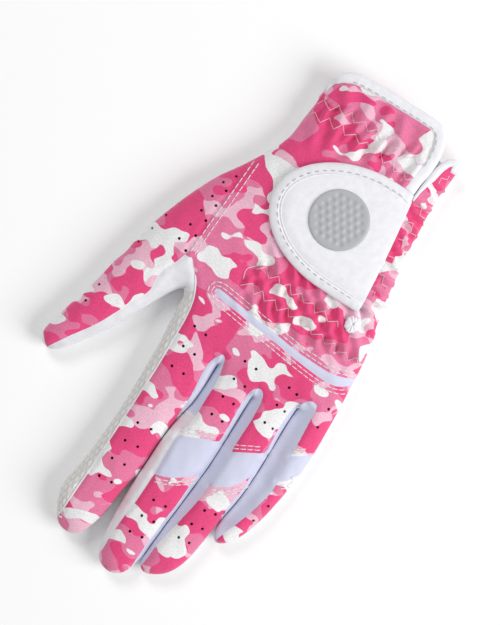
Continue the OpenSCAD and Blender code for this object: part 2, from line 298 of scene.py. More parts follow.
# Each gap between two fingers: left edge, valley, right edge, and the y where it closes
INDEX_GAP_Y = -46
GAPS = [(INDEX_RIGHT, VALLEY_IM, MIDDLE_LEFT, INDEX_GAP_Y),
        (MIDDLE_RIGHT, VALLEY_MR, RING_LEFT, -98), (RING_RIGHT, VALLEY_RL, LITTLE_LEFT, -72)]
# Thumb: the seam with the back, and where its printed knit gives way to white leather
THUMB_SEAM = smooth([
    (-32.4, 60), (-33.4, 50), (-34.4, 40), (-35.6, 30), (-36.6, 20), (-37.2, 13.8)])
THUMB_EDGE = smooth([
    (-37.2, 13.8), (-38.4, 10.4), (-40.4, 6.8), (-42, 3), (-42.6, -1), (-42.4, -5), (-44, -9),
    (-46.4, -13), (-50, -19.6), (-53.2, -25.2), (-57, -31), (-62, -37.4), (-67.5, -44.9)])
GUSSET_TOP = smooth([
    (-37.2, 13.8), (-35.4, 14.3), (-33.6, 13.5)])
GUSSET_END = smooth([
    (-26.7, 3), (-31.1, 0.2)])
# Stretch strip over the base knuckles
FLEX_STRIP = smooth([
    (46.5, 3.1), (42, 1.6), (36, 0.5), (28, 0.9), (20, 1.7), (10, 3.5), (0, 5.1), (-10, 7),
    (-18.4, 8.3), (-19.8, 7.3), (-18.6, 5.6), (-10, 4.1), (0, 2.2), (10, 0.7), (20, -1.2),
    (30, -2.8), (36, -3.3), (40, -3.1), (43.4, -1.9), (46.5, 0.4)])
# The wrist slit, both edges, from its end up to the cuff
SLIT_LEFT = smooth([
    (35, 24.5), (32.6, 31), (30.8, 44), (29.5, 60), (29.5, 72), (30.3, 79), (30.9, 84), (32.1, 89),
    (32.5, 93.4)])
SLIT_RIGHT = smooth([
    (35, 24.5), (33.3, 31), (31.6, 44), (30.3, 60), (30.5, 72), (31.7, 79), (32.3, 84), (33, 88.6),
    (33.9, 92.4)])
PALM_CUFF = smooth([
    (41.6, 91.5), (36, 95), (25, 98), (10, 99.8), (-5, 100.4), (-20.3, 99.6)])

# Knit inserts over the second knuckles: the seams above and below each
INSERTS = {
    "middle": (smooth([(-5, -50.3), (3, -47.6), (11.1, -45)]),
               smooth([(-5.8, -68.7), (0, -67), (5, -64.4), (10.1, -60.6)])),
    "ring": (smooth([(16.7, -46.2), (22, -43.6), (29.3, -40.3)]),
             smooth([(15.5, -62), (20, -60.4), (24, -57.8), (28.7, -52)])),
    "little": (smooth([(38.5, -36.2), (42, -34.2), (46.4, -31.6)]),
               smooth([(39, -47.6), (42.6, -45.2), (45.9, -41)])),
}

# Zigzag rows that gather the knit over the elastics inside
GATHERS = {
    "cuff_1": smooth([(-21, 93), (-8, 93.6), (8, 92.4), (29.6, 90.4)]),
    "cuff_2": smooth([(-22, 87), (-8, 87.4), (8, 86), (28.6, 83)]),
    "back_1": smooth([(-9.4, 23.6), (-4, 23.4), (4, 22.4), (16, 20.6), (31, 18.2)]),
    "back_2": smooth([(-11.6, 15.4), (-6, 14.8), (4, 14), (18, 12.2), (33, 10), (45.6, 9)]),
}
ZIGZAG_PITCH = 5.9
ZIGZAG_HEIGHT = 1.5
TAB_MID = np.array([20.0, 53.5])    # centre of the closure tab's round end

# Lines across each finger where its pieces are cut apart
SPLITS = [smooth([finger.point(s, -17), finger.point(s, 17)])
          for finger in DIGITS for s in (finger.start, finger.middle)]

# Air holes: the rows of each finger, as a first and last pair and how many pairs
HOLE_ROWS = [
    ((-20, -9.3), (-20.3, -27.5), 3), ((-14.5, -10.2), (-14.7, -28), 3),
    ((-21.2, -53.8), (-24.4, -79.7), 4), ((-15.3, -53.6), (-18.9, -79.7), 4),
    ((4.2, -11.8), (2.9, -36.6), 4), ((9.6, -12.4), (8, -37.2), 4),
    ((-0.8, -77.7), (-3, -93.2), 3), ((4.6, -77.8), (2.4, -93), 3),
    ((24.7, -12.5), (23, -29.3), 3), ((28.6, -13.4), (27, -30), 3),
    ((19, -71.6), (15.2, -86), 3), ((23.6, -71), (20, -86), 3),
    ((42.8, -12.4), (42.3, -20.8), 2), ((40.4, -58), (38.2, -66), 2),
    ((-34.6, 51), (-37.6, 15.2), 6), ((-37.9, 46.4), (-42.2, 18.2), 5),
    ((-49.3, 31.2), (-56.3, 9.4), 4), ((-61.7, -13.2), (-63.2, -21.4), 2),
]
HOLE_R = 0.62
HOLES = [np.array(a) * (1 - t) + np.array(b) * t
         for a, b, n in HOLE_ROWS for t in np.linspace(0, 1, n)]


# ---------------------------------------------------------------- triangulated plan

def triangulate(outline, lines, rings, holders, step, clear=0.42):
    """Triangles inside an outline, with every line and ring as edges.

    holders are the lines where the surface bends down steeply: they get extra rows.
    """
    pts, edges = [], []

    def add(curve, closed):
        first = len(pts)
        pts.extend(map(tuple, curve))
        edges.extend((first + i, first + i + 1) for i in range(len(curve) - 1))
        if closed:
            edges.append((first + len(curve) - 1, first))

    add(outline, True)
    for line in lines:
        add(line, False)
    for ring in rings:
        add(ring, True)

    fixed = KDTree(len(pts))
    for i, p in enumerate(pts):
        fixed.insert((*p, 0), i)
    fixed.balance()

    extra = []
    for gap in (0.35, 0.95):
        for line in holders:
            for side in (-1, 1):
                near = offset(line, side * gap)
                near = near[inside(outline, near)]
                extra += [p for p in near if fixed.find((*p, 0))[2] > 0.8 * gap]
    low, high = outline.min(axis=0), outline.max(axis=0)
    xs = np.arange(low[0], high[0], step)
    ys = np.arange(low[1], high[1], step * HEX_ROWS)
    grid = np.array([(x + 0.5 * step * (j % 2), y) for j, y in enumerate(ys) for x in xs])
    grid = grid[inside(outline, grid)]
    for line in holders:
        box = ((grid > line.min(axis=0) - 2) & (grid < line.max(axis=0) + 2)).all(axis=1)
        keep = np.ones(len(grid), bool)
        keep[box] = nearest(line, grid[box])[0] > 1.5
        grid = grid[keep]
    grid = [p for p in grid if fixed.find((*p, 0))[2] > clear]
    every = [Vector(map(float, p)) for p in pts + extra + grid]
    v, _, f, _, _, _ = delaunay_2d_cdt(every, edges, [], 0, 1e-4)
    v = np.array([tuple(p) for p in v])
    f = np.array([t for t in f if len(t) == 3])
    mid = v[f].mean(axis=1)
    f = f[inside(outline, mid)]
    a, b, c = (v[f[:, k]] for k in range(3))
    area = (b[:, 0] - a[:, 0]) * (c[:, 1] - a[:, 1]) - (b[:, 1] - a[:, 1]) * (c[:, 0] - a[:, 0])
    f[area < 0] = f[area < 0][:, ::-1]
    f = f[np.abs(area) > 1e-5]
    used, back = np.unique(f, return_inverse=True)
    return v[used], back.reshape(-1, 3)


def inflate(v, f, held, reach, steps=900, enough=1e-6):
    """Height of a membrane blown up over the plan and held down at some points.

    Solves u - reach^2 laplace(u) = 2 reach^2 and returns sqrt(u), which makes a narrow
    finger a round tube and lets a wide hand level off.
    """
    i, j, k = f.T
    n = len(v)
    rows, cols, vals = [], [], []
    mass = np.zeros(n)
    p = v[f]
    area = 0.5 * np.abs(np.cross(p[:, 1] - p[:, 0], p[:, 2] - p[:, 0]))
    for a, b, c in ((i, j, k), (j, k, i), (k, i, j)):
        u, w = v[a] - v[c], v[b] - v[c]
        cot = (u * w).sum(axis=1) / np.maximum(2 * area, 1e-6)
        cot = np.clip(cot, 0, 20) / 2
        rows += [a, b]
        cols += [b, a]
        vals += [cot, cot]
        mass += np.bincount(a, area / 3, n)
    rows, cols, vals = map(np.concatenate, (rows, cols, vals))
    diag = np.bincount(rows, vals, n) * reach ** 2 + mass
    free = ~held

    def apply(x):
        return diag * x - reach ** 2 * np.bincount(rows, vals * x[cols], n)

    rhs = 2 * reach ** 2 * mass * free
    x = np.zeros(n)
    r = rhs.copy()
    z = r / diag
    d = z.copy()
    for _ in range(steps):
        q = apply(d) * free
        alpha = (r @ z) / max(d @ q, 1e-12)
        x += alpha * d
        r_new = r - alpha * q
        z_new = r_new / diag * free
        if np.abs(r_new).max() < enough:
            break
        d = z_new + ((r_new @ z_new) / max(r @ z, 1e-20)) * d
        r, z = r_new, z_new
    return np.sqrt(np.maximum(x, 0))


# Seams with a crease along them, and every line that the plan is cut or bent along
CREASES = [INDEX_LEFT, INDEX_RIGHT, MIDDLE_LEFT, MIDDLE_RIGHT, RING_LEFT, RING_RIGHT,
           LITTLE_LEFT, THUMB_SEAM, THUMB_EDGE, FLEX_STRIP]
INSERT_SEAMS = [line for pair in INSERTS.values() for line in pair]
SEAM_LINES = CREASES[:-1] + [GUSSET_TOP, GUSSET_END, FLEX_STRIP, SLIT_LEFT, SLIT_RIGHT,
                             PALM_CUFF] + INSERT_SEAMS
SIDES = [RADIAL_SIDE, INDEX_SIDE, MIDDLE_SIDE, RING_SIDE, LITTLE_SIDE]
OPEN_TOP = 3.4          # the first stretch of a valley isn't held down

plan, tris = triangulate(OUTLINE, VALLEYS + SEAM_LINES + SPLITS,
                         [circle(c, HOLE_R, 10) for c in HOLES], SIDES + VALLEYS, GRID)
held = np.zeros(len(plan), bool)
for line in SIDES + [v[v[:, 1] < v[0, 1] - OPEN_TOP] for v in VALLEYS]:
    held |= nearest(line, plan)[0] < ON_LINE
puff = inflate(plan, tris, held, PUFF_LENGTH)


# ---------------------------------------------------------------- folds and creases

def waves(xy, seed, length, count=7):
    """Smooth random folds: a few sine waves in random directions."""
    rng = random.Random(seed)
    out = np.zeros(len(xy))
    for _ in range(count):
        a = rng.uniform(0, math.tau)
        k = math.tau / (length * rng.uniform(0.7, 1.5))
        run = xy[:, 0] * math.cos(a) + xy[:, 1] * math.sin(a)
        out += np.sin(k * run + rng.uniform(0, math.tau))
    return out / math.sqrt(count)


def band(x, low, high, soft):
    """1 between low and high, falling to 0 over a soft margin."""
    t = np.clip(np.minimum(x - low, high - x) / soft + 1, 0, 1)
    return t * t * (3 - 2 * t)


# Fields of folds: height, direction, length of one fold, (size, seed and scale of its
# wander), and the stretch and soft margin of y and x that the field covers
CUFF_X, OUTER = (-20, 30, 6), ((28, 86, 8), (34.2, 60, 2.5))
FOLDS = [
    (1.05, (0.82, 0.57), 5.8, (0.9, 17, 24), (9, 30, 7), (-6, 44, 8)),  # above the knuckles
    (1.15, (0.35, 1), 5.2, (1.1, 23, 22), *OUTER),                      # beside the tab
    (0.5, (-0.5, 1), 3.1, (1.3, 31, 13), *OUTER),
    (0.85, (1, 0.12), 8.5, (1, 29, 30), (80, 101, 8), CUFF_X),          # at the cuff
    (0.45, (1, -0.4), 4.3, (1.2, 37, 14), (84, 95, 5), CUFF_X),
]


def crease(d, depth, width, ridge, at, spread):
    """A groove along a seam, with a low ridge beside it."""
    return ridge * np.exp(-((d - at) / spread) ** 2) - depth * np.exp(-(d / width) ** 2)


def relief(xy):
    """How far the back stands out from its smooth shape: seams, gathers and folds."""
    x, y = xy.T
    out = 0.16 * waves(xy, 3, 16) + 0.10 * waves(xy, 5, 8)
    for line in CREASES:
        out += crease(nearest(line, xy)[0], 0.38, 0.75, 0.16, 2.2, 1.1)
    for line in INSERT_SEAMS:
        out += crease(nearest(line, xy)[0], 0.45, 0.8, 0.22, 2.3, 1.2)
    for line in GATHERS.values():
        d, run = nearest(line, xy)
        fold = np.sin(math.tau * run / ZIGZAG_PITCH + 0.6 * waves(xy, 11, 20))
        out += fold * np.exp(-(d / 4.4) ** 2) - 0.75 * np.exp(-(d / 1.3) ** 2)
    for tall, (kx, ky), length, (wander, seed, scale), in_y, in_x in FOLDS:
        fold = np.sin(math.tau * (kx * x + ky * y) / length + wander * waves(xy, seed, scale))
        out += tall * fold * band(y, *in_y) * band(x, *in_x)
    under_tab = np.linalg.norm((xy - TAB_MID) / [36, 23.5], axis=1)
    out *= np.where((under_tab < 1) & (x < 33), 0.3, 1.0)
    # The bound edges are left flat
    bound = np.minimum(nearest(CUFF_EDGE, xy)[0], nearest(FLAP_TIP, xy)[0])
    for line in (SLIT_LEFT, SLIT_RIGHT):
        bound = np.where(y > 78, np.minimum(bound, nearest(line, xy)[0]), bound)
    return out * np.clip((bound - 2.5) / 4, 0, 1)


def gap_shape(xy):
    """Change of height in the finger gaps: a raised ledge, then a deep wall beyond it."""
    x, y = xy.T
    out = np.zeros(len(xy))
    for left, valley, right, low in GAPS:
        a, m, b = x_at(left, y), x_at(valley, y), x_at(right, y)
        down = band(y, low, valley[0, 1] - 3, 6)
        t = np.clip((x - a) / np.maximum(m - a, 0.2), 0, 1)
        out += 0.9 * np.sin(math.pi * t ** 0.8) * down * (m - a > 0.4)
        t = np.clip((x - m) / np.maximum(b - m, 0.2), 0, 1)
        out -= 0.36 * np.clip(b - m, 0, 6.5) * np.sin(math.pi * t ** 0.9) * down
    return out


def cuff_scale(xy):
    """The cuff lies a little flatter than the hand."""
    t = np.clip((xy[:, 1] - 62) / 48, 0, 1)
    return 1 - 0.16 * t * t


# How high the membrane is where the gaps and the relief have their full depth, and where
# the palm lies flat; and the height of the flat palm over the floor
GAP_PUFF, RELIEF_PUFF, SOLE_PUFF, SOLE_Z = 2.5, 3.0, 4.6, 0.05

height = puff * cuff_scale(plan)
height += gap_shape(plan) * np.clip(puff / GAP_PUFF, 0, 1)
top = np.column_stack([plan, EQUATOR_Z + np.maximum(height, 0)])
sole = np.sin(np.minimum(puff / SOLE_PUFF, 1) * math.pi / 2)
bottom = np.column_stack([plan, EQUATOR_Z - (EQUATOR_Z - SOLE_Z) * sole])
count = len(plan)
under = np.where(held, np.arange(count), np.arange(count) + count)
points = np.vstack([top, bottom])
top_tris = tris
bottom_tris = under[tris][:, ::-1]


def vertex_normals(v, f):
    n = np.zeros_like(v)
    p = v[f]
    face = np.cross(p[:, 1] - p[:, 0], p[:, 2] - p[:, 0])
    for k in range(3):
        for axis in range(3):
            n[:, axis] += np.bincount(f[:, k], face[:, axis], len(v))
    return n / np.maximum(np.linalg.norm(n, axis=1, keepdims=True), 1e-12)


closed = np.vstack([top_tris, bottom_tris])
normals = vertex_normals(points, closed)
rise = np.clip(puff / RELIEF_PUFF, 0, 1)
points[:count] += normals[:count] * (relief(plan) * rise)[:, None]
palm_lift = 0.4 * (0.10 * waves(plan, 41, 14) - 0.10) * rise
points[count:, 2] = np.maximum(points[count:, 2] + palm_lift + 0.04, 0.02)
normals = vertex_normals(points, closed)


# ---------------------------------------------------------------- panels

mid = plan[tris].mean(axis=1)

# The fingers' zones lie below this y and right of this x, and the thumb's lie below this v
# of the thumb's own frame and left of this x
FINGERS_Y, FINGERS_X = -9, -37
THUMB_V, THUMB_X = 15.5, -30.5
# Where the line of each valley runs on past the fingertips
BEYOND = [[(-12.4, -80), (-13.2, -90), (-14, -112)], [(5.9, -104), (5.6, -113)],
          [(26, -78), (26, -113)]]


def zone_of(xy):
    """The part of the glove that a point of the plan moves with."""
    xy = np.atleast_2d(np.asarray(xy, float))
    x, y = xy.T
    out = np.full(len(xy), "hand", dtype=object)
    between = [x_at(np.vstack([line, more]), y) for line, more in zip(VALLEYS, BEYOND)]
    edges = [np.full(len(y), -99.0), *between, np.full(len(y), 99.0)]
    for k, f in enumerate(FINGERS):
        own = (x > edges[k]) & (x <= edges[k + 1]) & (y < FINGERS_Y) & (x > FINGERS_X)
        s = f.s(xy)
        out[own & (s > f.start)] = f.name + "_base"
        out[own & (s > f.middle)] = f.name + "_tip"
    s, v = THUMB.s(xy), THUMB.v(xy)
    own = (v < THUMB_V) & (x < THUMB_X)
    out[own & (s > THUMB.start)] = "thumb_base"
    out[own & (s > THUMB.middle)] = "thumb_tip"
    return out


GUSSET_Y = 13.8         # end of the thumb's seam, where the gusset begins
GUSSET_SLOPE = 0.636    # of the seam at the gusset's other end
GUSSET_CORNER = (-31.1, 0.2)
STRETCH_Y = -40.2       # the middle finger's index side is knit above this, leather below


def insert_mask(name, xy):
    x, y = xy.T
    upper, lower = INSERTS[name]
    return (y < np.interp(x, *upper.T)) & (y > np.interp(x, *lower.T))


def panel_of(xy, zone):
    """The sewn piece that a point of the back belongs to."""
    x, y = xy.T
    out = np.full(len(xy), "knit", dtype=object)
    hand = zone == "hand"
    own = {f.name: np.array([z.startswith(f.name) for z in zone]) for f in DIGITS}
    thumb = own["thumb"]
    out[hand & (y > GUSSET_Y) & (x < x_at(THUMB_SEAM, y))] = "saddle"
    # Between the thumb and the index finger
    low = (hand | thumb) & (y <= GUSSET_Y) & (x < x_at(INDEX_LEFT, y)) & (y > -50) & (x < -24)
    camo_side = x < x_at(THUMB_EDGE, y)
    out[low & hand & camo_side] = "saddle"
    out[low & thumb & camo_side] = "knit"
    leather = low & ~camo_side
    out[leather] = "leather"
    past_gusset = y < GUSSET_CORNER[1] + (x - GUSSET_CORNER[0]) * GUSSET_SLOPE
    index_side = leather & past_gusset & (x > GUSSET_CORNER[0] - 0.5) & ~thumb
    out[index_side] = "embossed"
    f = own["index"]
    out[f & (x < x_at(INDEX_LEFT, y))] = "embossed"
    wall = f & (x > x_at(INDEX_RIGHT, y)) & (y > INDEX_GAP_Y)
    out[wall] = "stretch"
    out[wall & (zone == "index_tip")] = "leather"
    f = own["middle"]
    wall = f & (x < x_at(MIDDLE_LEFT, y))
    out[wall & (y > STRETCH_Y)] = "stretch"
    out[wall & (y <= STRETCH_Y)] = "leather"
    out[f & (x > x_at(MIDDLE_RIGHT, y))] = "stretch"
    f = own["ring"]
    out[f & ((x < x_at(RING_LEFT, y)) | (x > x_at(RING_RIGHT, y)))] = "stretch"
    f = own["little"]
    out[f & (x < x_at(LITTLE_LEFT, y))] = "stretch"
    # The tops of the finger gaps reach a little way into the hand
    for left, _, right, _ in GAPS:
        gap = np.vstack([left, right[::-1]])
        out[hand & (y < -12) & (y > -24) & inside(gap, xy)] = "crotch"
    out[hand & inside(FLEX_STRIP, xy)] = "strip"
    for name in INSERTS:
        out[own[name] & insert_mask(name, xy) & (out == "knit")] = "insert"
    return out


zones = zone_of(mid)
panels = panel_of(mid, zones)

# Neighbouring fingers share the lowest line of their gap: there each takes its own normals
in_gap = held & (np.min([nearest(line, plan)[0] for line in VALLEYS], axis=0) < ON_LINE)
finger_normals = {}
for finger in FINGERS:
    own = np.array([z.startswith(finger.name) for z in zones])
    alone = vertex_normals(points, np.vstack([top_tris[own], bottom_tris[own]]))
    n = normals.copy()
    n[:count][in_gap] = alone[:count][in_gap]
    finger_normals[finger.name] = n

slit = inside(np.vstack([SLIT_LEFT, SLIT_RIGHT[::-1]]), mid)
pierced = np.zeros(len(mid), bool)
for centre in HOLES:
    pierced |= np.linalg.norm(mid - centre, axis=1) < HOLE_R * 0.98
palm_cuff_y = np.interp(mid[:, 0], PALM_CUFF[::-1, 0], PALM_CUFF[::-1, 1])


# ---------------------------------------------------------------- materials

def rgb(code):
    """A colour such as F0508C, as linear RGBA."""
    out = []
    for i in (0, 2, 4):
        c = int(code[i:i + 2], 16) / 255
        out.append(c / 12.92 if c <= 0.04045 else ((c + 0.055) / 1.055) ** 2.4)
    return (*out, 1.0)


class Shader:
    """A material's node tree, with short calls for the nodes used here."""

    def __init__(self, name, color, rough, sheen=0.0):
        self.mat = bpy.data.materials.new(name)
        self.mat.use_nodes = True
        self.tree = self.mat.node_tree
        self.surface = self.tree.nodes["Principled BSDF"].inputs
        for key, value in (("Base Color", color), ("Roughness", rough),
                           ("Sheen Weight", sheen), ("Sheen Roughness", 0.5)):
            self.surface[key].default_value = value
        self.rest = self.node("Attribute", "Vector", {}, attribute_name="rest")

    def node(self, kind, out, inputs, **settings):
        """A new node: each input is a value, or a socket to link; returns one output."""
        n = self.tree.nodes.new("ShaderNode" + kind)
        for key, value in settings.items():
            setattr(n, key, value)
        for key, value in inputs.items():
            if isinstance(value, bpy.types.NodeSocket):
                self.tree.links.new(value, n.inputs[key])
            else:
                n.inputs[key].default_value = value
        return n.outputs[out]

    def coords(self, scale=(1, 1, 1), move=(0, 0, 0), turn=0.0):
        """The rest position in millimetres, scaled, moved and turned about Z."""
        return self.node("Mapping", "Vector", {
            "Vector": self.rest, "Scale": [k / MM for k in scale], "Location": move,
            "Rotation": (0, 0, math.radians(turn))})

    def noise(self, coords, scale, detail=2.0, rough=0.5, out="Fac"):
        return self.node("TexNoise", out, {"Vector": coords, "Scale": scale,
                                           "Detail": detail, "Roughness": rough})

    def cells(self, coords, scale):
        return self.node("TexVoronoi", "Distance", {"Vector": coords, "Scale": scale})

    def warp(self, coords, scale, amount):
        """Coordinates pushed about by a noise, which gives blobs their lobes."""
        push = self.noise(coords, scale, 0.2, out="Color")
        return self.node("VectorMath", "Vector", {0: push, 1: (amount,) * 3, 2: coords},
                         operation="MULTIPLY_ADD")

    def wave(self, coords, scale, distortion=0.0, direction="X"):
        return self.node("TexWave", "Fac", {"Vector": coords, "Scale": scale,
                                            "Distortion": distortion, "Detail Scale": 1.5},
                         bands_direction=direction)

    def remap(self, value, low, high, to_low=0.0, to_high=1.0):
        return self.node("MapRange", "Result", {"Value": value, "From Min": low, "From Max": high,
                                                "To Min": to_low, "To Max": to_high})

    def math(self, op, a, b):
        return self.node("Math", "Value", {0: a, 1: b}, operation=op)

    def sum(self, a, share_a, b, share_b):
        return self.math("ADD", self.math("MULTIPLY", a, share_a),
                         self.math("MULTIPLY", b, share_b))

    def mix(self, factor, a, b, blend="MIX"):
        """Inputs 6 and 7 and output 2 of a Mix node are its colours."""
        return self.node("Mix", 2, {0: factor, 6: a, 7: b}, data_type="RGBA", blend_type=blend)

    def color(self, socket):
        self.tree.links.new(socket, self.surface["Base Color"])

    def tint(self, color, value, *span):
        """The base colour, darker and lighter as a value is remapped over a span."""
        self.color(self.mix(1.0, color, self.remap(value, *span), "MULTIPLY"))

    def roughness(self, socket):
        self.tree.links.new(socket, self.surface["Roughness"])

    def bump(self, height, strength, distance):
        normal = self.node("Bump", "Normal", {"Height": height, "Strength": strength,
                                              "Distance": distance * MM})
        self.tree.links.new(normal, self.surface["Normal"])


HOT_PINK = rgb("E8437F")
MID_PINK = rgb("E5769F")
LIGHT_PINK = rgb("EFB9CE")
OFF_WHITE = rgb("F1F0F0")
LILAC = rgb("D5D8EE")
LEATHER_WHITE = rgb("E7E7EB")
EMBOSSED = rgb("ECEAE7")
# the embossed leather's second colour is painted shade for the low parts of its lattice
EMBOSSED_RECESS_SHADE = rgb("D9D7D4")
BADGE_GREY = rgb("B4B6BA")


def knit_grain(s):
    """Fine loops of a knit: colour speckle and height."""
    fine = s.noise(s.coords(), 1.9, 3.0, 0.75)
    return s.sum(fine, 0.85, s.wave(s.coords(turn=38), 1.1, 1.2), 0.15)


# Patches of the print, from the lowest up: colour, where its noise is read, scale and
# amount of its lobes, scale of its patches, and the value above which the colour shows
PATCHES = [(LIGHT_PINK, (13, -28, 6), 0.15, 12, 0.078, 0.53),
           (HOT_PINK, (41, -17, 4), 0.15, 12, 0.07, 0.5),
           (OFF_WHITE, (77, 21, 3), 0.16, 11, 0.08, 0.612)]
PATCH_STRETCH = (0.85, 1.1, 0.4)
PATCH_EDGE = 0.005      # half the width of the soft edge of a patch, in noise


def camo_knit():
    s = Shader("camo_knit", MID_PINK, 0.85, 0.25)
    c = MID_PINK
    for color, move, lobes, amount, scale, level in PATCHES:
        at = s.warp(s.coords(PATCH_STRETCH, move), lobes, amount)
        shows = s.remap(s.noise(at, scale, 0.0, 0.4), level - PATCH_EDGE, level + PATCH_EDGE)
        c = s.mix(shows, c, color)
    grain = knit_grain(s)
    s.tint(c, grain, 0.3, 0.7, 0.78, 1.16)
    s.roughness(s.remap(grain, 0.3, 0.7, 0.92, 0.72))
    s.bump(grain, 0.55, 0.25)
    return s.mat


def stretch_knit():
    s = Shader("stretch_knit", LILAC, 0.7, 0.35)
    rib = s.wave(s.coords(turn=12), 0.95, 0.5, "Y")
    grain = s.sum(rib, 0.55, s.noise(s.coords(), 3.0, 2.0, 0.6), 0.45)
    s.tint(LILAC, grain, 0.25, 0.75, 0.85, 1.07)
    s.bump(grain, 0.4, 0.2)
    return s.mat


def leather(name, color, rough=0.5, grain_scale=1.1, strength=0.35):
    s = Shader(name, color, rough, 0.05)
    wrinkle = s.noise(s.coords(), 0.35, 4.0, 0.6)
    s.tint(color, wrinkle, 0.3, 0.7, 0.93, 1.02)
    s.roughness(s.remap(wrinkle, 0.3, 0.7, rough - 0.08, rough + 0.12))
    s.bump(s.sum(s.cells(s.coords(), grain_scale), 0.5, wrinkle, 0.8), strength, 0.3)
    return s.mat


def embossed_leather():
    """Leather with a raised lattice, made of two crossing waves; its low parts take a darker
    colour as painted shade.
    """
    s = Shader("embossed_leather", EMBOSSED, 0.55)
    left, right = (s.wave(s.coords((1.15, k, 1.15)), 0.19, 0.25, "DIAGONAL")
                   for k in (0.62, -0.62))
    raised = s.remap(s.math("MULTIPLY", left, right), 0.08, 0.4)
    # painted shade: the lattice's low parts are coloured darker
    s.color(s.mix(raised, EMBOSSED_RECESS_SHADE, EMBOSSED))
    s.bump(s.sum(raised, 1.0, s.noise(s.coords(), 2.5), 0.15), 0.7, 0.4)
    return s.mat


def thread(name, color):
    s = Shader(name, color, 0.6, 0.2)
    twist = s.wave(s.coords(turn=30), 2.4)
    s.tint(color, twist, 0, 1, 0.88, 1.0)
    s.bump(twist, 0.4, 0.1)
    return s.mat


def badge():
    s = Shader("badge_rubber", BADGE_GREY, 0.5)
    fine = s.noise(s.coords(), 3.0)
    s.tint(BADGE_GREY, fine, 0.3, 0.7, 0.94, 1.03)
    s.bump(fine, 0.15, 0.1)
    return s.mat


def tape(name, color, scale, strength):
    s = Shader(name, color, 0.8, 0.3)
    nap = s.cells(s.coords(), scale)
    s.tint(color, nap, 0.0, 0.9, 0.78, 1.05)
    s.bump(nap, strength, 0.5)
    return s.mat


CAMO = camo_knit()
STRETCH = stretch_knit()
LEATHER = leather("palm_leather", LEATHER_WHITE)
TAB_LEATHER = leather("tab_leather", rgb("F2F2F6"), 0.42, 2.2, 0.12)
BINDING = leather("binding_tape", rgb("EFEFF4"), 0.5, 1.8, 0.25)
EMBOSS = embossed_leather()
THREAD_MAT = thread("thread", rgb("F6F4F5"))
# the grey of the tab's and the cuff's stitches is painted shade, standing in for the shadow along
# the stitches
SHADED_BAND_THREAD_MAT = thread("band_thread", rgb("C6C6CC"))
GATHER_THREAD_MAT = thread("gather_thread", rgb("F0D9E1"))
BADGE = badge()
LOOP = tape("loop_tape", rgb("E9E9EC"), 2.2, 0.7)
HOOK = tape("hook_tape", rgb("DDDDE2"), 1.4, 0.9)
ELASTIC = tape("elastic_tape", rgb("ECECF0"), 1.8, 0.5)


# ---------------------------------------------------------------- meshes

def add_object(name, data):
    obj = bpy.data.objects.new(name, data)
    bpy.context.scene.collection.objects.link(obj)
    return obj


def build(name, verts, faces, material, corner_normals=None):
    """An object from points in millimetres; it remembers where each point lay at rest."""
    mesh = bpy.data.meshes.new(name)
    verts = np.asarray(verts, float) * MM
    mesh.from_pydata([tuple(p) for p in verts], [], [tuple(map(int, f)) for f in faces])
    mesh.materials.append(material)
    rest = mesh.attributes.new("rest", "FLOAT_VECTOR", "POINT")
    rest.data.foreach_set("vector", verts.astype(np.float32).ravel())
    mesh.polygons.foreach_set("use_smooth", [True] * len(mesh.polygons))
    mesh.update()
    if corner_normals is not None:
        mesh.normals_split_custom_set([tuple(n) for n in corner_normals])
    return add_object(name, mesh)


def dress(nodes=()):
    """Hide the CAD nodes that a piece stands for."""
    if nodes:
        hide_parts(*nodes)


def piece(name, verts, faces, material, body, nodes=(), corner_normals=None):
    """A piece that rides on one body."""
    obj = build(name, verts, faces, material, corner_normals)
    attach(obj, body)
    dress(nodes)


def shell(v, n, f, thickness=FABRIC_T):
    """A closed skin: the given face outside, the same face a thickness further in."""
    used, back = np.unique(f, return_inverse=True)
    f = back.reshape(-1, 3)
    v, n = v[used], n[used]
    m = len(v)
    sides = {}
    for t in f:
        for a, b in ((t[0], t[1]), (t[1], t[2]), (t[2], t[0])):
            sides[(a, b)] = sides.get((a, b), 0) + 1
    rim = [(a, b) for a, b in sides if (b, a) not in sides]
    inner = v - thickness * n
    verts = np.vstack([v, inner])
    faces = [tuple(t) for t in f] + [(t[2] + m, t[1] + m, t[0] + m) for t in f]
    corner = [n[i] for t in f for i in t] + [-n[i] for t in f for i in (t[2], t[1], t[0])]
    for a, b in rim:
        edge = v[b] - v[a]
        out = np.cross(edge, n[a])
        out /= max(np.linalg.norm(out), 1e-9)
        faces.append((b, a, a + m, b + m))
        corner += [out] * 4
    return verts, faces, corner


def panel(name, keep, upper, zone, material, nodes):
    """One sewn piece: the triangles that keep marks, on the back or on the palm side."""
    outward = finger_normals.get(zone.split("_")[0], normals)
    verts, faces, corner = shell(points, outward, (top_tris if upper else bottom_tris)[keep])
    obj = build(name, verts, faces, material, corner)
    place(obj, zone)
    dress(nodes)


def on(zone, kind):
    """The triangles of one kind of panel in a zone, without the air holes and the slit."""
    return (zones == zone) & (panels == kind) & ~pierced & ~slit


# Name, kind of panel, material and CAD nodes
HAND_PANELS = [
    ("back_panel_knit", "knit", CAMO, ["back_panel", "ulnar_side"]),
    ("thumb_saddle_knit", "saddle", CAMO, ["thumb_saddle", "radial_side"]),
    ("thumb_gusset_leather", "leather", LEATHER, ["thumb_gusset"]),
    ("index_hand_side_leather", "embossed", EMBOSS, ["index_hand_side_panel"]),
    ("knuckle_flex_strip_knit", "strip", STRETCH, ["knuckle_flex_strip"]),
    ("finger_crotch_knit", "crotch", STRETCH, []),
]
for name, kind, material, nodes in HAND_PANELS:
    panel(name, on("hand", kind), True, "hand", material, nodes)
panel("palm_leather", (zones == "hand") & (mid[:, 1] < palm_cuff_y), False, "hand", LEATHER,
      ["palm_panel"])

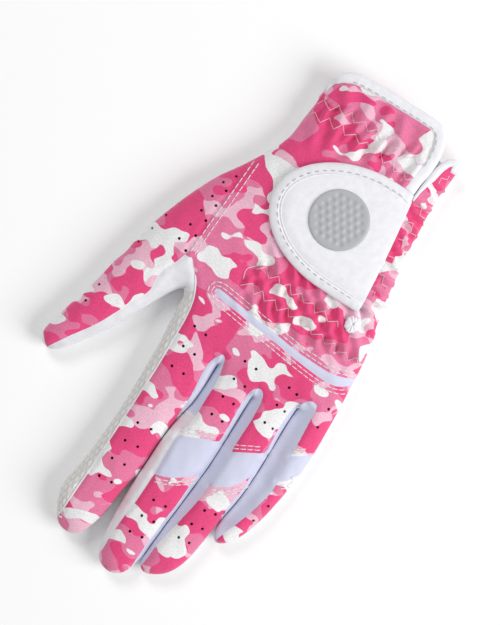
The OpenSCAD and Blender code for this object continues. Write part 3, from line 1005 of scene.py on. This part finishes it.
SIDE_NODE = {"thumb": "sides", "index": "fourchette", "middle": "fourchettes",
             "ring": "fourchettes", "little": "sides"}
for finger in [THUMB] + FINGERS:
    for part in ("base", "tip"):
        zone = finger.name + "_" + part
        here = zone + "_"
        side = [here + SIDE_NODE[finger.name]]
        stretches = on(zone, "stretch").any()
        insert = [finger.name + "_knuckle_insert"] if part == "tip" else []
        panel(here + "back_knit", on(zone, "knit"), True, zone, CAMO, [here + "back"])
        panel(here + "palm_leather", zones == zone, False, zone, LEATHER, [here + "palm"])
        for kind, name, material, nodes in (
                ("stretch", "fourchette_knit", STRETCH, side),
                ("leather", "side_leather", LEATHER, [] if stretches else side),
                ("embossed", "side_panel_leather", EMBOSS, [here + "side_panel"]),
                ("insert", "insert_knit", STRETCH, insert)):
            if on(zone, kind).any():
                panel(here + name, on(zone, kind), True, zone, material, nodes)


# ---------------------------------------------------------------- trims: tools

def tree_of(v, f):
    return BVHTree.FromPolygons([tuple(p) for p in v], [tuple(map(int, t)) for t in f])


outer_tree = tree_of(points[:count], top_tris)
calm_tree = tree_of(top, top_tris)
SKY_Z, BACK_Z = 60, 12      # above everything, and about as high as the back


def drop(tree, xy):
    """Where points of the plan meet a surface from above, and its normals there."""
    spots, norms = [], []
    for x, y in np.atleast_2d(xy):
        spot, norm, _, _ = tree.ray_cast(Vector((x, y, SKY_Z)), Vector((0, 0, -1)))
        if spot is None:
            spot, norm, _, _ = tree.find_nearest(Vector((x, y, BACK_Z)))
        spots.append(tuple(spot))
        norms.append(tuple(norm))
    return np.array(spots), np.array(norms)


def level(tree, xy):
    """Height of a surface at points of the plan."""
    return drop(tree, xy)[0][:, 2]


def calm(xy):
    """Height of the back without its creases."""
    return level(calm_tree, xy)


def loft(rows, sides, flip=False):
    """Faces round a row of rings of points, with both ends closed."""
    faces = [(i * sides + j, i * sides + k, (i + 1) * sides + k, (i + 1) * sides + j)
             for i in range(rows - 1) for j, k in zip(range(sides), [*range(1, sides), 0])]
    last = (rows - 1) * sides
    faces += [tuple(range(sides))[::-1], tuple(range(last, last + sides))]
    return [face[::-1] for face in faces] if flip else faces


def tube(line, radius, sides=5):
    """A round thread along a line of points in space."""
    line = np.asarray(line, float)
    t = tangents(line)
    a = np.cross(t, [0, 0, 1.0])
    a /= np.maximum(np.linalg.norm(a, axis=1, keepdims=True), 1e-9)
    b = np.cross(a, t)
    angles = np.linspace(0, math.tau, sides, endpoint=False)
    rings = [line + radius * (math.cos(k) * a + math.sin(k) * b) for k in angles]
    return np.stack(rings, axis=1).reshape(-1, 3), loft(len(line), sides)


class Trim:
    """Small pieces of one kind, kept zone by zone so that they move with the fabric."""

    def __init__(self, name, material):
        self.name, self.material, self.zones = name, material, {}

    def add(self, zone, verts, faces):
        v, f = self.zones.setdefault(zone, ([], []))
        first = sum(len(part) for part in v)
        v.append(verts)
        f.extend(tuple(i + first for i in face) for face in faces)

    def finish(self):
        for zone, (v, f) in sorted(self.zones.items()):
            obj = build(self.name + "_" + zone, np.vstack(v), f, self.material)
            place(obj, zone)
            dress()


STITCH_ENDS = np.array([0, 0.3, 0.7, 1.0])          # points along a stitch
STITCH_RISE = np.array([-0.12, 0.13, 0.13, -0.12])  # and their height over the fabric
THREAD_RISE = 0.08                                  # height of a zigzag thread's middle


def stitch_row(trim, row, pitch=2.8, length=2.3, radius=0.21, heights=None, zone=None):
    """Separate stitches along a curve, each dipping into the fabric at both ends."""
    n = int((runs(row)[-1] - length) / pitch) + 1
    for k in range(max(n, 0)):
        s = k * pitch + STITCH_ENDS * length
        xy = at_runs(row, s)
        if heights is None:
            spots, norms = drop(outer_tree, xy)
        else:
            spots, norms = np.column_stack([xy, heights(xy)]), np.array([[0, 0, 1.0]] * 4)
        spots = spots + norms * STITCH_RISE[:, None]
        trim.add(zone or zone_of(xy.mean(axis=0))[0], *tube(spots, radius))


def zigzag_row(trim, row, pitch, height, radius=0.16):
    """A zigzag thread lying on the fabric, a little uneven where the knit is drawn in."""
    rng = random.Random(len(row) * 7 + int(pitch * 10))
    line = resample(row, pitch / 2)
    flip = np.where(np.arange(len(line)) % 2 == 0, 1.0, -1.0)
    reach = [height * k * rng.uniform(0.75, 1.25) for k in flip]
    slip = [pitch * rng.uniform(-0.09, 0.09) for _ in flip]
    corners = (line + rightward(line) * np.array(reach)[:, None]
               + tangents(line) * np.array(slip)[:, None])
    path = np.vstack([resample(np.array(leg), 0.9)[:-1] for leg in zip(corners, corners[1:])])
    spots, norms = drop(outer_tree, path)
    trim.add("hand", *tube(spots + norms * THREAD_RISE, radius))


def cord_along(trim, curve, radius, sink):
    """Piping along a seam, in one run for each zone that it crosses."""
    line = resample(curve, 0.7)
    owner = zone_of((line[:-1] + line[1:]) / 2)
    first = 0
    for i in range(1, len(owner) + 1):
        if i == len(owner) or owner[i] != owner[first]:
            spots, norms = drop(outer_tree, line[first:i + 1])
            trim.add(owner[first], *tube(spots - norms * sink, radius, 7))
            first = i


def sweep(curve, inward, profile, heights, width=None):
    """A band along an edge: profile lists (distance inward, height) round its section."""
    width = np.ones((len(curve), 1)) if width is None else np.asarray(width)[:, None]
    m = inward * rightward(curve)
    verts = []
    for d, h in profile:
        reach = width if d > 0 else 1.0
        ground = heights(curve + m * reach * max(d, 0.25))
        verts.append(np.column_stack([curve + m * reach * d, ground + h]))
    verts = np.stack(verts, axis=1)
    # Its upper side is a little uneven, as on a band that is sewn down
    i = np.arange(len(curve))
    pull = 0.09 * np.sin(i * 2.1) * (1 + 0.6 * np.sin(i * 0.37))
    verts[:, [h > 0.25 for _, h in profile], 2] += pull[:, None]
    return verts.reshape(-1, 3), loft(len(curve), len(profile), inward > 0)


def pad(name, outline, heights, thickness, material, body, nodes, step=1.7, lines=()):
    """A flat-cut piece that follows a height; the outline runs counter-clockwise."""
    v, f = triangulate(outline, list(lines), [], [], step, 0.5)
    v = np.column_stack([v, heights(v)])
    verts, faces, corner = shell(v, vertex_normals(v, f), f, thickness)
    piece(name, verts, faces, material, body, nodes, corner)


# ---------------------------------------------------------------- cuff, slit and flap

# Number of points over which the cuff's binding narrows at its end on the thumb's side, and
# the flap's binding at its start under the tab
TAPER = 12
cuff_rim = np.vstack([SLIT_LEFT[SLIT_LEFT[:, 1] > 77.5], CUFF_EDGE[1:],
                      RADIAL_SIDE[RADIAL_SIDE[:, 1] > 95][1:]])
cuff_rim = resample(cuff_rim, 1.2)
cuff_width = np.clip((len(cuff_rim) - 1 - np.arange(len(cuff_rim))) / TAPER, 0.3, 1)
flap_rim = resample(np.vstack([SLIT_RIGHT[SLIT_RIGHT[:, 1] > 76], FLAP_TIP[::-1][1:]]), 1.0)
flap_width = np.clip(np.arange(len(flap_rim)) / TAPER, 0.35, 1)
BAND = [(4.0, -0.1), (3.85, 0.32), (3.0, 0.55), (1.6, 0.62), (0.5, 0.5), (-0.4, 0.1),
        (-0.65, -0.5), (-0.4, -1.1), (0.8, -1.5), (3.4, -1.4), (3.5, -0.9)]
piece("cuff_binding_band", *sweep(cuff_rim, -1, BAND, calm, cuff_width), BINDING, "hand",
      ["cuff_binding"])
FLAP_BAND = [(0.68 * d, h) for d, h in BAND]
piece("slit_binding_band", *sweep(flap_rim, 1, FLAP_BAND, calm, flap_width), BINDING, "hand",
      ["slit_binding"])
PALM_BAND = [(3.5, 0.75), (3.4, 1.15), (2.4, 1.3), (0.9, 1.25), (-0.1, 0.95), (-0.35, 0.6),
             (-0.1, 0.15), (0.8, -0.02), (3.0, -0.02), (3.3, 0.2)]
palm_tree = tree_of(points, bottom_tris)
piece("palm_cuff_binding_band",
      *sweep(resample(PALM_CUFF, 0.6), -1, PALM_BAND, lambda xy: level(palm_tree, xy)),
      BINDING, "hand", ["palm_cuff_binding"])

ELASTIC_HALF = 2.0          # half the width of an elastic
ELASTIC_DEPTH = (1.2, 1.6)  # its upper and lower face, below the outside of the knit
PALM_ELASTIC_Z = 2.3        # what stands in for the outside of the knit on the palm side


def ribbon(stem, number, a, b):
    """A flat elastic inside the glove from a to b, under the back or on the palm."""
    line = resample(np.array([a, b], float), 0.8)
    across = np.linspace(ELASTIC_HALF, -ELASTIC_HALF, 7)
    rows = []
    for depth, sides in zip(ELASTIC_DEPTH, (across, across[::-1])):
        for side in sides:
            xy = offset(line, side)
            flat = stem.startswith("palm")
            z = np.full(len(xy), PALM_ELASTIC_Z) if flat else level(outer_tree, xy)
            rows.append(np.column_stack([xy, z - depth]))
    verts = np.stack(rows, axis=1).reshape(-1, 3)
    piece(stem + "_band" + number, verts, loft(len(line), len(rows)), ELASTIC, "hand",
          [stem + number])


ribbon("cuff_elastic", "_1", (-17, 93.2), (27, 91))
ribbon("cuff_elastic", "_2", (-18, 87.3), (26.5, 83.4))
ribbon("back_elastic", "_1", (-9, 23.5), (31, 18.2))
ribbon("back_elastic", "_2", (-7, 14), (42, 9.6))
ribbon("palm_elastic", "", (-16, 90), (36, 84.5))


# ---------------------------------------------------------------- closure tab

TAB_REACH, TAB_HALF = 38.3, 25.6
TAB_TOP, TAB_BOTTOM = (31.0, 77.7), (33.9, 27.0)
arc = [TAB_MID + [TAB_REACH * math.cos(math.radians(a)), TAB_HALF * math.sin(math.radians(a))]
       for a in range(94, 268, 6)]
TAB_ARC = smooth([TAB_TOP, (26.5, 78.6)] + [tuple(p) for p in arc] + [(26, 27.3), TAB_BOTTOM])
TAB_EDGE = smooth([TAB_BOTTOM, (32.9, 52), TAB_TOP])
RIM_LIFT, PAD_LIFT, TAB_T = 0.7, 1.7, 1.2


def tab_under(xy):
    """Underside of the tab: near the glove at its rim, up on its two pads inside."""
    rim = nearest(TAB_ARC, xy)[0]
    t = np.clip(rim / 8, 0, 1)
    return calm(xy) + RIM_LIFT + PAD_LIFT * t * t * (3 - 2 * t)


def tab_face(xy):
    return tab_under(xy) + TAB_T


def inset_tab(d, x_max):
    line = offset(TAB_ARC, -d)
    line = line[line[:, 0] < x_max]
    top_end, low_end = line[0], line[-1]
    return np.vstack([line, smooth([low_end, (top_end + low_end) / 2, top_end])[1:-1]])


cover = np.vstack([offset(TAB_ARC, -0.5)[1:-1], TAB_EDGE])
pad("tab_cover_leather", cover, tab_face, TAB_T, TAB_LEATHER, "tab", ["tab_cover"],
    1.5, [offset(TAB_ARC, -4.4)[3:-3]])
TAB_BAND = [(3.75, 1.0), (3.7, 1.42), (3.2, 1.66), (2.0, 1.72), (0.9, 1.6), (0.1, 1.25),
            (-0.25, 0.75), (-0.25, 0.25), (0.1, -0.15), (1.0, -0.32), (3.0, -0.3), (3.3, 0.1)]
piece("tab_binding_band", *sweep(resample(TAB_ARC, 1.2), -1, TAB_BAND, tab_under), BINDING,
      "tab", ["tab_binding"])
# the tab's stitches are grey as painted shade
tab_threads = Trim("tab_stitches", SHADED_BAND_THREAD_MAT)
stitch_row(tab_threads, offset(TAB_ARC, -3.15)[4:-4], 3.2, 2.0, 0.2,
           lambda xy: tab_under(xy) + 1.6, "tab")
tab_threads.finish()
ridge = resample(offset(TAB_ARC, -4.5)[4:-4], 1.2)
piece("tab_ridge", *tube(np.column_stack([ridge, tab_face(ridge) - 0.12]), 0.34, 7),
      TAB_LEATHER, "tab")
pad("tab_hook_tape", inset_tab(6.5, 25), lambda xy: tab_under(xy) - 0.02, 1.05, HOOK, "tab",
    ["tab_hook_pad"], 2.2)
pad("loop_tape", inset_tab(4.6, 29), lambda xy: calm(xy) + 0.95, 1.0, LOOP, "hand",
    ["loop_pad"], 2.2)

fold = resample(TAB_EDGE[2:-2], 1.5)
FOLD = [(2.6, 0.96), (1.2, 0.99), (0.2, 0.95), (-0.3, 0.75), (-0.45, 0.45), (-0.3, 0.15),
        (0.1, -0.1), (2.6, -0.1)]
fold_gap = np.minimum(tab_under(fold) - calm(fold), RIM_LIFT + PAD_LIFT)
fold_verts, fold_faces = sweep(fold, -1, [(d, 0) for d, _ in FOLD], calm)
fold_verts[:, 2] += (fold_gap[:, None] * np.array([h for _, h in FOLD])[None, :]).ravel()
piece("tab_fold_leather", fold_verts, fold_faces, TAB_LEATHER, "hand", ["tab_anchor"])

BADGE_AT, BADGE_R = np.array([9.7, 55.0]), 12.2
DIMPLE_STEP, DIMPLE_R, DIMPLE_DEPTH = 3.2, 1.35, 0.55
BADGE_SIDES = 90


def badge_face(xy):
    """A low round badge with the dimples of a golf ball."""
    off = xy - BADGE_AT
    r = np.linalg.norm(off, axis=1)
    edge = np.clip((BADGE_R - r) / 0.7, 0, 1)
    z = 0.3 + 0.42 * np.sqrt(1 - (1 - edge) ** 2) + 0.25 * (1 - (r / BADGE_R) ** 2)
    for j in range(-4, 5):
        for i in range(-5, 6):
            c = DIMPLE_STEP * np.array([i + 0.5 * (j % 2), j * HEX_ROWS])
            if np.linalg.norm(c) < BADGE_R - 1.9:
                d = np.linalg.norm(off - c, axis=1)
                z -= DIMPLE_DEPTH * np.clip(1 - (d / DIMPLE_R) ** 2, 0, 1)
    return tab_face(BADGE_AT[None, :])[0] * 0.4 + tab_face(xy) * 0.6 + z


inner_ring = circle(BADGE_AT, BADGE_R - 0.35, BADGE_SIDES)
pad("tab_badge", circle(BADGE_AT, BADGE_R, BADGE_SIDES), badge_face, 0.6, BADGE, "tab",
    ["tab_emblem"], 0.62, [np.vstack([inner_ring, inner_ring[:1]])])

# The puckered tack that closes the lower end of the slit: a pleated dome with a dimple in
# the middle and a neck (near 90 degrees) drawn up to the tab's corner
TACK_AT = np.array([34.6, 21.8])
TACK_RX, TACK_RY, TACK_HEIGHT = 3.3, 3.9, 1.35
tack_verts = []
rings, spokes = 12, 56
tack_z = calm(TACK_AT[None, :])[0]
for i in range(rings + 1):
    rho = i / rings
    for j in range(spokes):
        a = math.tau * j / spokes
        neck = math.exp(-((a - math.pi / 2) / 0.42) ** 2)
        pleat = 1 + 0.03 * math.sin(7 * a + 0.6) + 0.03 * math.sin(12 * a)
        x = TACK_AT[0] + TACK_RX * rho * pleat * math.cos(a) * (1 - 0.2 * neck) - 0.6 * neck * rho
        y = TACK_AT[1] + (TACK_RY * pleat + 2.6 * neck) * rho * math.sin(a)
        folds = math.sin(9 * a + 0.6) + 0.6 * math.sin(14 * a + 2)
        z = TACK_HEIGHT * math.sqrt(max(1 - rho ** 2.4, 0)) + 0.2 * folds * math.sin(math.pi * rho)
        z -= 1.1 * math.exp(-(rho / 0.13) ** 2)
        ground = calm(np.array([[x, y]]))[0]
        tack_verts.append((x, y, min(ground, tack_z + 0.4) + z - 0.25))
tack_faces = []
for i in range(rings):
    for j in range(spokes):
        k = (j + 1) % spokes
        tack_faces.append((i * spokes + j, (i + 1) * spokes + j,
                           (i + 1) * spokes + k, i * spokes + k))
tack_faces.append(tuple(rings * spokes + j for j in range(spokes))[::-1])
piece("slit_end_tack_knot", tack_verts, tack_faces, BINDING, "hand", ["slit_end_tack"])


# ---------------------------------------------------------------- stitching and piping

threads = Trim("stitches", THREAD_MAT)
for d in (1.2, 2.8):
    stitch_row(threads, offset(FLEX_STRIP, d)[1:-1])
for d in (1.3, 3.3):
    stitch_row(threads, offset(THUMB_SEAM, -d))
for upper, lower in INSERTS.values():
    for d in (1.4, 2.8):
        stitch_row(threads, offset(upper, -d)[1:-1])
        stitch_row(threads, offset(lower, d)[1:-1])
threads.finish()
# the cuff's stitches are grey as painted shade
cuff_threads = Trim("cuff_stitches", SHADED_BAND_THREAD_MAT)
stitch_row(cuff_threads, offset(cuff_rim, -3.2)[10:-14], 3.2, 1.9, 0.19,
           lambda xy: calm(xy) + 0.5, "hand")
cuff_threads.finish()

gathering = Trim("gathering_thread", GATHER_THREAD_MAT)
for row in GATHERS.values():
    zigzag_row(gathering, row, ZIGZAG_PITCH, ZIGZAG_HEIGHT)
corner_thread = resample(smooth([(-8.6, 24.6), (-12.8, 20.8), (-12.2, 16.4)], 0.8), 0.8)
spots, norms = drop(outer_tree, corner_thread)
gathering.add("hand", *tube(spots + norms * THREAD_RISE, 0.2))
for y in (74, 66.5, 59, 51, 43, 35.5):
    zigzag_row(gathering, smooth([(34.2, y + 2), (37, y), (40.2, y - 3.4)]), 4.4, 0.9)
zigzag_row(gathering, smooth([(36.6, 87.5), (38.6, 90.5), (40.2, 92.6)]), 3.6, 0.8)
gathering.finish()

piping = Trim("index_piping", LEATHER)
cord_along(piping, INDEX_LEFT[6:], 0.42, 0.05)
piping.finish()


# ---------------------------------------------------------------- camera, light, floor

def add_floor(half=3.0, z=-0.0002):
    mesh = bpy.data.meshes.new("floor")
    corners = [(-half, -half, z), (half, -half, z), (half, half, z), (-half, half, z)]
    mesh.from_pydata(corners, [], [(0, 1, 2, 3)])
    mat = bpy.data.materials.new("floor")
    mat.use_nodes = True
    surface = mat.node_tree.nodes["Principled BSDF"].inputs
    surface["Base Color"].default_value = (1.0, 1.0, 1.0, 1)
    surface["Roughness"].default_value = 0.9
    mesh.materials.append(mat)
    add_object("floor", mesh)


def add_light(name, location, size, energy):
    """A square light that shines at the origin."""
    data = bpy.data.lights.new(name, "AREA")
    data.size = size
    data.energy = energy
    obj = add_object(name, data)
    obj.location = location
    obj.rotation_euler = (-Vector(location)).to_track_quat("-Z", "Y").to_euler()


def add_camera(centre=(-0.0034, 0.0061, 0.008), turn=29, field=0.250):
    """A camera straight above centre, where it sees a width of field metres."""
    data = bpy.data.cameras.new("camera")
    data.sensor_width = 36
    data.lens = 100
    obj = add_object("camera", data)
    x, y, z = centre
    obj.location = (x, y, z + data.lens * field / data.sensor_width)
    obj.rotation_euler = (0, 0, math.radians(turn))
    bpy.context.scene.camera = obj


add_floor()
add_camera()
add_light("key", (-0.95, 0.75, 1.3), 0.6, 8.5)
add_light("side", (1.25, 0.1, 0.85), 0.9, 17.5)
world = bpy.data.worlds.new("studio")
world.use_nodes = True
background = world.node_tree.nodes["Background"].inputs
background["Color"].default_value = (1, 1, 1, 1)
background["Strength"].default_value = 0.42
bpy.context.scene.world = world
bpy.context.scene.view_settings.view_transform = "Standard"
